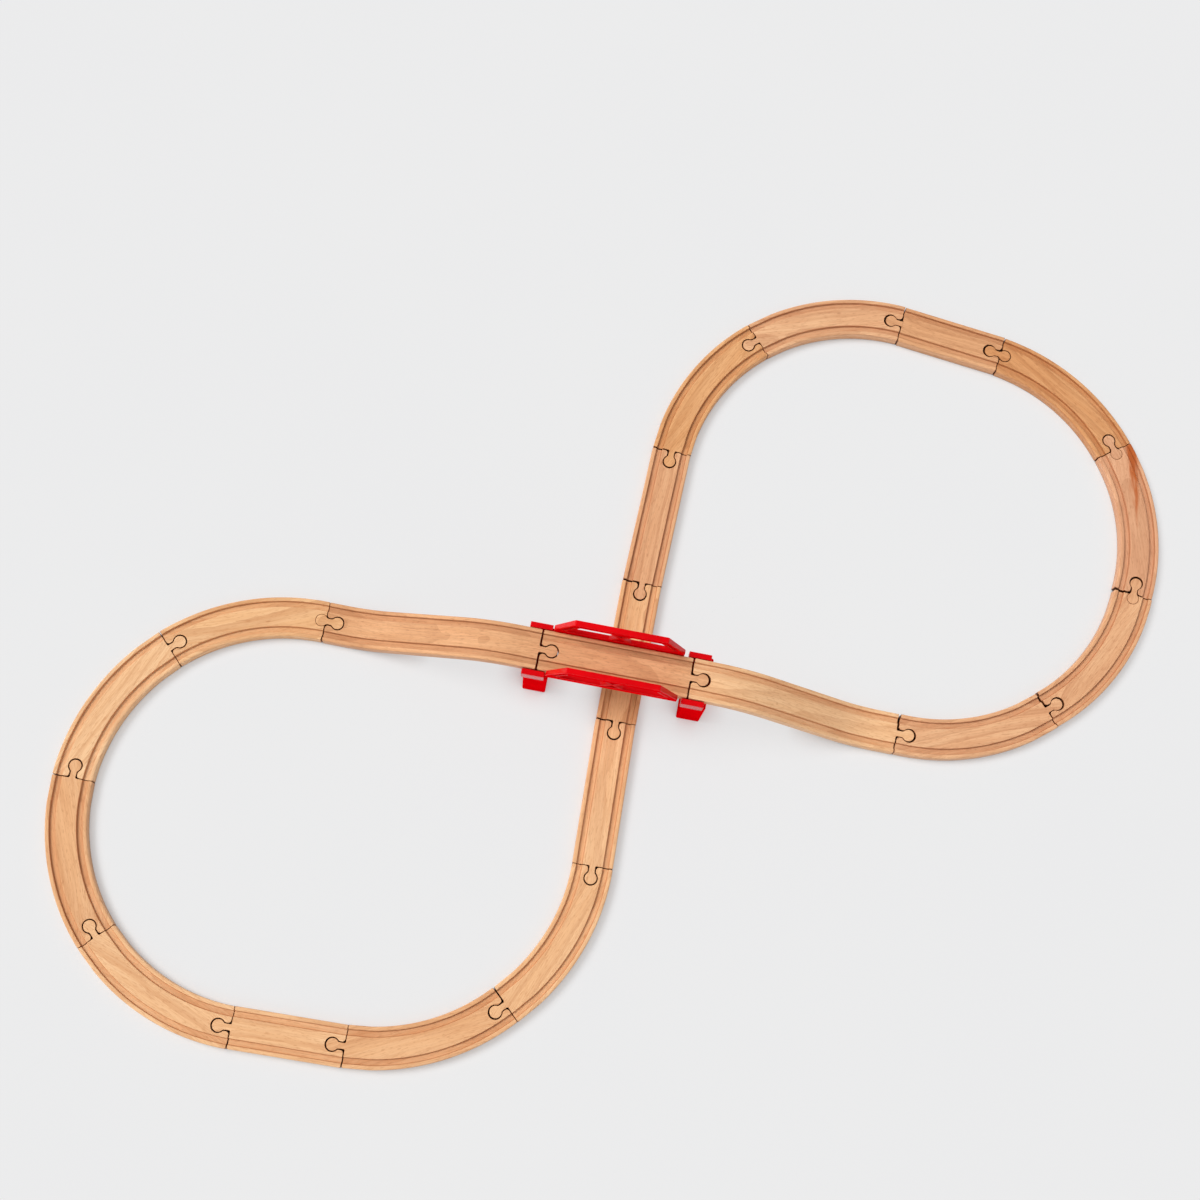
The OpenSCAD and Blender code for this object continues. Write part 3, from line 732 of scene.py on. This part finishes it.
def scaled(g, vector, scale):
    """The vector stretched by a scale on each axis."""
    return vector_arithmetic(g, "MULTIPLY", vector, scale)


def arithmetic(g, operation, a, b):
    """Plain arithmetic on two values."""
    return put(g, "ShaderNodeMath", [(0, a), (1, b)], operation=operation).outputs[0]


def level(g, value, amount):
    """A mask turned down to an amount."""
    return arithmetic(g, "MULTIPLY", value, amount)


def ramp(g, value, low, high):
    """Smooth step of a value between two levels."""
    return put(g, "ShaderNodeMapRange", [("Value", value), ("From Min", low), ("From Max", high)],
               interpolation_type="SMOOTHSTEP").outputs["Result"]


def noise(g, vector, scale, detail, rough=0.55):
    """Fractal noise of a vector, about 0.5."""
    return put(g, "ShaderNodeTexNoise", [("Vector", vector), ("Scale", scale), ("Detail", detail),
                                         ("Roughness", rough)]).outputs["Fac"]


def blend_colour(g, factor, a, b):
    """Mixes two colours by a mask."""
    return put(g, "ShaderNodeMix", [(MIX_FACTOR, factor), (MIX_A, a), (MIX_B, b)],
               data_type="RGBA").outputs[MIX_RESULT]


def field(g, name):
    """A mesh's own field, read as a node."""
    return put(g, "ShaderNodeAttribute", attribute_name=name).outputs


def beech_figure():
    """Figure of planed beech in coordinates that run along the grain, with the heart of the tree along the X
    axis: broad clouds, streaks, fine lines, short flecks, growth rings and stray specks. Height is the fine
    lines less the flecks, and every other output is a mask, 0 to 1."""
    outs = [(key, "NodeSocketFloat") for key in (*FIGURE_MASKS, "Ring", "Speck", "Height")]
    g, group_in, group_out = new_group("beech figure", [("Grain", "NodeSocketVector")], outs)
    grain = group_in.outputs["Grain"]
    sway = put(g, "ShaderNodeTexNoise", [("Vector", scaled(g, grain, SWAY_WAVES)), ("Scale", 1.0),
                                         ("Detail", PLAIN_DETAIL)]).outputs["Color"]
    bent = vector_arithmetic(g, "ADD", grain, scaled(g, sway, SWAY))
    raw = {}
    for mask, (along, across, detail, rough, *levels) in FIGURE_MASKS.items():
        raw[mask] = noise(g, scaled(g, bent, (along, across, across)), 1.0, detail, rough)
        g.links.new(ramp(g, raw[mask], *levels), group_out.inputs[mask])
    rings = put(g, "ShaderNodeTexWave", [("Vector", bent), ("Scale", RING_WAVES),
                                         ("Distortion", RING_WANDER), ("Detail", RING_DETAIL),
                                         ("Detail Scale", RING_DETAIL_SCALE)],
                wave_type="RINGS", rings_direction="X", wave_profile="SAW").outputs["Fac"]
    cells = put(g, "ShaderNodeTexVoronoi", [("Vector", scaled(g, grain, SPECK_WAVES)), ("Scale", 1.0)])
    g.links.new(ramp(g, rings, *RING_LEVELS), group_out.inputs["Ring"])
    g.links.new(ramp(g, cells.outputs["Distance"], *SPECK_LEVELS), group_out.inputs["Speck"])
    g.links.new(arithmetic(g, "SUBTRACT", raw["Fine"], raw["Fleck"]), group_out.inputs["Height"])
    return g


def blank_place(number):
    """Where a piece's blank lay in the tree: how far along it, how far beside and above its heart, and how
    askew. The numbers differ from piece to piece, so no two show the same wood."""
    beside, above, askew = np.sin(BLANK_BEATS * number + BLANK_STARTS)
    return (BLANK_STEP * (number + 1), BLANK_SIDE * beside, BLANK_HIGH + BLANK_SWING * above,
            BLANK_SKEW * askew)


def grain_field(points, turn, number):
    """Grain coordinates in metres: the piece's own frame turned to lie along its blank, carried to its place
    in the tree."""
    c, n = np.cos(turn), np.sin(turn)
    x, y, z = points.T
    along, across = c * x + n * y, c * y - n * x
    start, beside, above, askew = blank_place(number)
    return np.stack([along + start, across + beside, z + above + askew * along], -1) * MM


def brown_stain(t, grain):
    """Spindle of stained wood: the distance from its middle, shortened along the grain and made ragged by
    noise, fades it out."""
    middle = (np.array([STAIN_ALONG, STAIN_ACROSS, 0]) + blank_place(STAINED)[:3]) * MM
    shrink = (1 / (STAIN_L * MM), 1 / (STAIN_W * MM), 0)
    wide = noise(t, scaled(t, grain, STAIN_WAVES), 1.0, BROAD_DETAIL)
    off = vector_arithmetic(t, "SUBTRACT", grain, middle)
    turned = put(t, "ShaderNodeVectorRotate", [("Vector", off), ("Angle", STAIN_TURN)],
                 rotation_type="Z_AXIS").outputs[0]
    far = put(t, "ShaderNodeVectorMath", [(0, scaled(t, turned, shrink))], operation="LENGTH")
    return ramp(t, arithmetic(t, "ADD", far.outputs["Value"], wide), *STAIN_LEVELS)


def beech(kind, figure):
    """Satin-lacquered beech: pale ground, warm clouds and streaks, deep lines and flecks, and painted shade
    in the grooves, down the cut faces of the joints and underneath.
    """
    m = bpy.data.materials.new(kind + " beech")
    t = bare_tree(m)
    pale, warm, deep = (tone(*card) for card in BEECH_TONES[kind])
    grain, painted_shade = field(t, "grain")["Vector"], field(t, "painted_shade")["Fac"]
    fig = put(t, "ShaderNodeGroup", [], node_tree=figure)
    t.links.new(grain, fig.inputs["Grain"])
    c = pale
    for mask, share in FIGURE_SHARES.items():
        share = LINED_RINGS if (kind, mask) == ("lined", "Ring") else share
        colour = warm if mask in ("Cloud", "Streak") else deep
        c = blend_colour(t, level(t, fig.outputs[mask], share), c, colour)
    if kind == "stained":
        c = blend_colour(t, level(t, brown_stain(t, grain), STAIN_SHARE), c, STAIN)
    # Painted shade: groove walls, the cut faces in the joints' gaps and the underside go toward the deep
    # tone, then toward the darkest shade tone
    c = blend_colour(t, level(t, ramp(t, painted_shade, 0.0, PAINTED_SHADE_MID), PAINTED_SHADE_SHARE), c, deep)
    c = blend_colour(t, ramp(t, painted_shade, PAINTED_SHADE_MID, 1.0), c, PAINTED_SHADE_TONE)
    bump = put(t, "ShaderNodeBump", [("Height", fig.outputs["Height"]), ("Strength", WOOD_BUMP),
                                     ("Distance", WOOD_BUMP_M)])
    rough = put(t, "ShaderNodeMapRange", [("Value", fig.outputs["Streak"]), ("To Min", WOOD_ROUGH[0]),
                                          ("To Max", WOOD_ROUGH[1])])
    p = put(t, "ShaderNodeBsdfPrincipled", [("Base Color", c), ("Roughness", rough.outputs["Result"]),
                                            ("Normal", bump.outputs["Normal"]),
                                            ("Specular IOR Level", WOOD_SPECULAR)])
    put(t, "ShaderNodeOutputMaterial", [("Surface", p.outputs[0])])
    return m


def red_plastic():
    """Moulded plastic, strong red, with a faint unevenness in its surface. It is glossy where the gloss
    field says so, and brighter and matt elsewhere."""
    m = bpy.data.materials.new("red plastic")
    t = bare_tree(m)
    at = put(t, "ShaderNodeTexCoord").outputs["Object"]
    waver, haze = noise(t, at, WAVER_WAVES, BROAD_DETAIL), noise(t, at, HAZE_WAVES, FINE_DETAIL)
    gloss = field(t, "gloss")["Fac"]
    drift = ramp(t, waver, *WAVER_LEVELS)
    c = blend_colour(t, gloss, blend_colour(t, drift, *MATT_TONES), blend_colour(t, drift, *GLOSS_TONES))
    rough = put(t, "ShaderNodeMapRange", [("Value", haze), ("From Min", HAZE_LEVELS[0]),
                                          ("From Max", HAZE_LEVELS[1]), ("To Min", RED_ROUGH[0]),
                                          ("To Max", RED_ROUGH[1])]).outputs["Result"]
    bump = put(t, "ShaderNodeBump", [("Height", waver), ("Strength", RED_BUMP), ("Distance", RED_BUMP_M)])
    p = put(t, "ShaderNodeBsdfPrincipled", [("Base Color", c), ("Roughness", rough),
                                            ("Normal", bump.outputs["Normal"]), ("Specular IOR Level", 0.0),
                                            ("Coat Weight", gloss), ("Coat Roughness", RED_COAT_ROUGH)])
    put(t, "ShaderNodeOutputMaterial", [("Surface", p.outputs[0])])
    return m


def lay_track():
    """Every wooden piece at its place in the ring, and the plugs at the ends of their curves."""
    figure = beech_figure()
    woods = {kind: beech(kind, figure) for kind in BEECH_TONES}
    for i, (name, kind, wood, _) in enumerate(RING):
        at, a = PLACES[i]
        room = LOOSE_ROOM if name == LOOSE_PLUG else 0.0
        sink, lift = (DECK_SINK, DECK_Z) if kind == "deck" else (SOCKET_SINK, 0.0)
        cuts = [(CUT_LONG, np.sin(CUT_TURN * TURNS[j])) if NAMES[j] in ROUGH_ENDS else (0.0, 0.0)
                for j in (i - 1, i)]
        points, faces, painted_shade, own = whole_piece(kind, name in PLUGGED, room, sink, *cuts)
        turn = BEND.get(kind, 0) * CURVE_A / 2
        fields = [("grain", "FLOAT_VECTOR", grain_field(own, turn, i)), ("painted_shade", "FLOAT", painted_shade)]
        beech_wood, body = woods[wood], name + "_body"
        piece(name + "_wood", stand(points, at, a, lift), faces, fields, beech_wood, body, name)
        if name in PLUGGED:
            end, b = far_end(at, a, kind)
            points, faces, painted_shade = plug_shell()
            grain = grain_field(points, 0.0, i + PLUG_BLANKS)
            fields = [("grain", "FLOAT_VECTOR", grain), ("painted_shade", "FLOAT", painted_shade)]
            plug, points = PLUGGED[name], stand(points, end, b, 0.0)
            piece(plug + "_wood", points, faces, fields, beech_wood, body, plug)


def girder_plate():
    """Side view of a girder: a bar below, a bar above, and at each end a leaning post and a strut with a
    slot between them. A crossed brace parts the two open bays. Returns the outline and the holes."""
    toe = min(-WEST_X + LIP_SHIFT, EAST_X - LIP_SHIFT) - LIP_L / 2 - TOE_GAP
    lean = POST_LEAN / (GIRDER_H - FOOT_BAR)
    low, high = FOOT_BAR, GIRDER_H - HEAD_BAR
    mid = (low + high) / 2

    def edge(run, z):
        """Point at height z on a line that leans like the west post, a run inside its outer edge."""
        return -toe + run + lean * (z - FOOT_BAR), z

    head = toe - POST_LEAN
    outer = rounded_loop([(-toe, 0), (toe, 0), (toe, FOOT_BAR), (head, GIRDER_H), (-head, GIRDER_H),
                          (-toe, FOOT_BAR)], [TOE_R, TOE_R, KNEE_R, HEAD_R, HEAD_R, KNEE_R], CORNER_STEPS)
    slot_end = POST_RUN + SLOT_RUN
    slot = rounded_loop([edge(POST_RUN, SLOT_FOOT), edge(slot_end, SLOT_FOOT), edge(slot_end, high),
                         edge(POST_RUN, high)], SLOT_R, HOLE_STEPS)
    wide, slim, notch = (BRACE_L + BRACE_W) / 2, (BRACE_L - BRACE_W) / 2, BRACE_W / 2
    bay_run = slot_end + STRUT_RUN
    bay = rounded_loop([edge(bay_run, low), (-wide, low), (-notch, mid), (-wide, high), edge(bay_run, high)],
                       BAY_R, HOLE_STEPS)
    drop = notch * (high - low) / BRACE_L
    crotch = rounded_loop([(-slim, low), (slim, low), (0, mid - drop)], CROTCH_R, HOLE_STEPS)
    flip = (crotch * [1, -1] + [0, 2 * mid])[::-1]
    return outer, [slot, bay, (slot * [-1, 1])[::-1], (bay * [-1, 1])[::-1], crotch, flip]


def column_shell(half_l, half_w, high):
    """Hollow column, open below: one rounded outline at many heights, with a panel sunk in two sides.

    The rings run from the ceiling inside down to the foot, round it and up the outside to the rim. The panel
    is the pair of rings between its borders, moved in where the outline lies between its upright borders.
    """
    loop = rounded_loop([(-half_l, -half_w), (half_l, -half_w), (half_l, half_w), (-half_l, half_w)],
                        COLUMN_R, CORNER_STEPS)
    stops = np.array([1, -1])[:, None] * (half_l - PANEL_BORDER - np.array([0, PANEL_SLOPE]))
    stops = np.sort(stops.ravel())
    near = np.column_stack([stops, np.full(len(stops), -half_w)])
    corner = CORNER_STEPS + 1
    loop = np.concatenate([loop[:corner], near, loop[corner:3 * corner], -near, loop[3 * corner:]])
    wall, foot = COLUMN_WALL, COLUMN_FOOT
    panel_top = high - PANEL_HEAD
    below = [(wall, high - wall), (wall, foot), (wall - foot, 0.0), (foot, 0.0), (0.0, foot),
             (0.0, PANEL_BORDER)]
    panel = [(0.0, PANEL_BORDER + PANEL_SLOPE), (0.0, panel_top)]
    above = [(0.0, panel_top + PANEL_SLOPE)] + upper_rim(high, COLUMN_RIM)
    points, faces = ring_stack(loop, below + panel + above)
    sunk = np.repeat([0, 1, 0], [len(below), len(panel), len(above)])
    inner = np.zeros(len(loop))
    south, north = corner + 1, 3 * corner + len(near) + 1
    inner[[south, south + 1, north, north + 1]] = 1
    points[:, 1] -= np.sign(points[:, 1]) * PANEL_SINK * np.outer(sunk, inner).ravel()
    return capped(points, faces, len(loop))


def raise_girders(red):
    """The two red girders beside the deck: one plate that thickens upward by its draft, stood on either
    side. Only its soft rims are glossy."""
    outer, holes = girder_plate()
    points, faces = plate(outer, holes, GIRDER_T, GIRDER_RIM)
    x, z, deep = points.T
    gloss = RIM_GLOSS * (np.abs(deep - GIRDER_T / 2) < GIRDER_T / 2 - HAIR)
    deep = deep * (1 + GIRDER_DRAFT / GIRDER_T * z / GIRDER_H)
    for side, name in ((1, "girder_north"), (-1, "girder_south")):
        p = np.column_stack([x, side * (HALF_W + GIRDER_CLR + deep), z + DECK_Z + TRACK_T - GIRDER_LAP])
        piece(name + "_red", p, faces, [("gloss", "FLOAT", gloss)], red, "bridge_deck_body", name)


def raise_supports(red):
    """The two hollow red columns under the deck's ends, each with two glossy lips that stand clear of the
    track at its widest turn."""
    bridge_flex = max(abs(TURNS[0]), abs(TURNS[-1]))
    lip_y = HALF_W + LIP_CLR + (LIP_L + KNOB_REACH) * np.sin(bridge_flex)
    column, faces = column_shell(COLUMN_L / 2, lip_y + LIP_T - LIP_PROUD, DECK_Z - SEAT_CLR)
    lip_h = LIP_BELOW + TRACK_T - LIP_DROP
    lip_loop = rounded_loop([(0, 0), (LIP_L, 0), (LIP_L, lip_h), (0, lip_h)],
                            [LIP_R, LIP_CORNER_R, LIP_CORNER_R, LIP_CORNER_R], LIP_STEPS)
    lip, lip_faces = capped(*ring_stack(lip_loop, soft_rings(0, LIP_T, LIP_RIM)), len(lip_loop))
    for x, name in ((EAST_X, "support_east"), (WEST_X, "support_west")):
        solids = [(column + [x, 0, 0], faces)]
        for side in (-1, 1):
            p = np.column_stack([lip[:, 0] + x - LIP_SHIFT - LIP_L / 2, side * (lip_y + lip[:, 2]),
                                 lip[:, 1] + DECK_Z - LIP_BELOW])
            solids.append((p, lip_faces))
        p, f = join(*solids)
        gloss = (np.arange(len(p)) >= len(column)).astype(float)
        piece(name + "_red", p, f, [("gloss", "FLOAT", gloss)], red, "bridge_supports", name)


# Floor, in metres: half width and height, how near a piece must be to paint shade into a crack, and how near
# to darken the open floor
FLOOR_W, FLOOR_Z = 9.0, -0.0004
FLOOR_TONES, CRACK_SHADE_TONE = (tone(236, 236, 236), tone(234, 234, 235)), tone(60, 36, 22)
FLOOR_WAVES, CRACK_M, CRACK_LEVELS = 3.0, 0.012, (0.18, 0.45)
SHADE_M, SHADE_POWER, OWN_PALENESS = 0.03, 1.3, 0.84
CRACK_SAMPLES, SHADE_SAMPLES = 8, 6

# Studio: lamps with direction, strength and spread in degrees, and what the sky shows in reflections
LAMPS = (("window", (-0.68, 0.13, 0.95), 2.2, 26), ("fill", (0.35, -0.85, 0.47), 0.4, 60))
SKY_LIGHT, SKY_SEEN = (0.415, 0.42, 0.425, 1.0), tone(235, 235, 235)
MIRROR_LOW, MIRROR_HIGH, MIRROR_LEVELS = grey(0.62), grey(0.05), (0.15, 0.75)
GLEAM, GLEAM_AT, GLEAM_LEVELS = grey(1.0), Vector((-0.65, 0.35, 0.5)), (0.9, 0.96)

# Camera: the way that it looks, the point on the floor at which it aims and how far off it stands
CAMERA_TURN, CAMERA_RISE, CAMERA_ROLL = np.radians([-1.58, 75.23, 12.30])
CAMERA_AIM, CAMERA_FAR = np.array([-25.5, 79.0, 0.0]), 1827.0
CAMERA_LENS, CAMERA_SENSOR, CAMERA_CLIP = 54.03, 36.0, (0.05, 30.0)


def pale_floor():
    """Wide pale floor just under the track, with painted shade in the cracks between and beside pieces. The
    camera sees mostly its own paleness, and the soft shadow.
    """
    m = bpy.data.materials.new("pale floor")
    t = bare_tree(m)
    at = put(t, "ShaderNodeTexCoord").outputs["Object"]
    c = blend_colour(t, noise(t, at, FLOOR_WAVES, BROAD_DETAIL), *FLOOR_TONES)
    # Painted shade: the floor's colour goes dark brown where pieces close in round it
    close = put(t, "ShaderNodeAmbientOcclusion", [("Distance", CRACK_M)], samples=CRACK_SAMPLES)
    painted_crack_shade = blend_colour(t, ramp(t, close.outputs["AO"], *CRACK_LEVELS), CRACK_SHADE_TONE, c)
    dull = put(t, "ShaderNodeBsdfDiffuse", [("Color", painted_crack_shade)])
    glow = put(t, "ShaderNodeEmission", [("Color", painted_crack_shade), ("Strength", 1.0)])
    shade = put(t, "ShaderNodeAmbientOcclusion", [("Distance", SHADE_M)], samples=SHADE_SAMPLES)
    clear = arithmetic(t, "POWER", shade.outputs["AO"], SHADE_POWER)
    camera = level(t, put(t, "ShaderNodeLightPath").outputs["Is Camera Ray"], OWN_PALENESS)
    mix = put(t, "ShaderNodeMixShader", [("Fac", level(t, camera, clear)), (1, dull.outputs[0]),
                                         (2, glow.outputs[0])])
    put(t, "ShaderNodeOutputMaterial", [("Surface", mix.outputs[0])])
    mesh = bpy.data.meshes.new("floor")
    w, z = FLOOR_W, FLOOR_Z
    mesh.from_pydata([(-w, -w, z), (w, -w, z), (w, w, z), (-w, w, z)], [], [(0, 1, 2, 3)])
    mesh.materials.append(m)
    add_object("floor", mesh)


def pale_sky():
    """Even sky. Reflections see it darken overhead, with one bright patch, and the camera sees it pale."""
    world = bpy.data.worlds.new("studio")
    t = bare_tree(world)
    way = put(t, "ShaderNodeTexCoord").outputs["Generated"]
    high = put(t, "ShaderNodeSeparateXYZ", [(0, way)]).outputs["Z"]
    near = put(t, "ShaderNodeVectorMath", [(0, way), (1, GLEAM_AT.normalized())],
               operation="DOT_PRODUCT").outputs["Value"]
    mirror = blend_colour(t, ramp(t, high, *MIRROR_LEVELS), MIRROR_LOW, MIRROR_HIGH)
    mirror = blend_colour(t, ramp(t, near, *GLEAM_LEVELS), mirror, GLEAM)
    rays = put(t, "ShaderNodeLightPath").outputs
    light = blend_colour(t, rays["Is Glossy Ray"], SKY_LIGHT, mirror)
    light = blend_colour(t, rays["Is Camera Ray"], light, SKY_SEEN)
    sky = put(t, "ShaderNodeBackground", [("Color", light), ("Strength", 1.0)])
    put(t, "ShaderNodeOutputWorld", [("Surface", sky.outputs[0])])
    bpy.context.scene.world = world


def hang_lamps():
    """Soft window light from the upper left and a weak fill from the near side."""
    for name, way, energy, spread in LAMPS:
        lamp = bpy.data.lights.new(name, "SUN")
        lamp.energy, lamp.angle = energy, np.radians(spread)
        sun = add_object(name, lamp)
        sun.visible_glossy = False
        sun.rotation_euler = Vector(way).to_track_quat("Z", "Y").to_euler()


def set_camera():
    """Camera high over the near side, rolled about its own line of sight."""
    scene = bpy.context.scene
    turn, rise, roll = CAMERA_TURN, CAMERA_RISE, CAMERA_ROLL
    right = np.array([np.cos(turn), np.sin(turn), 0])
    back = np.array([np.sin(turn) * np.cos(rise), -np.cos(turn) * np.cos(rise), np.sin(rise)])
    up = np.cross(back, right)
    across, along = right * np.cos(roll) + up * np.sin(roll), up * np.cos(roll) - right * np.sin(roll)
    axes = np.stack([across, along, back], 1)
    cam = bpy.data.cameras.new("camera")
    cam.lens, cam.sensor_width = CAMERA_LENS, CAMERA_SENSOR
    cam.clip_start, cam.clip_end = CAMERA_CLIP
    place = Matrix(axes.tolist()).to_4x4()
    place.translation = Vector(((CAMERA_AIM + back * CAMERA_FAR) * MM).tolist())
    scene.camera = add_object("camera", cam)
    scene.camera.matrix_world = place
    scene.view_settings.view_transform = "Standard"


lay_track()
red = red_plastic()
raise_girders(red)
raise_supports(red)
pale_floor()
pale_sky()
hang_lamps()
set_camera()
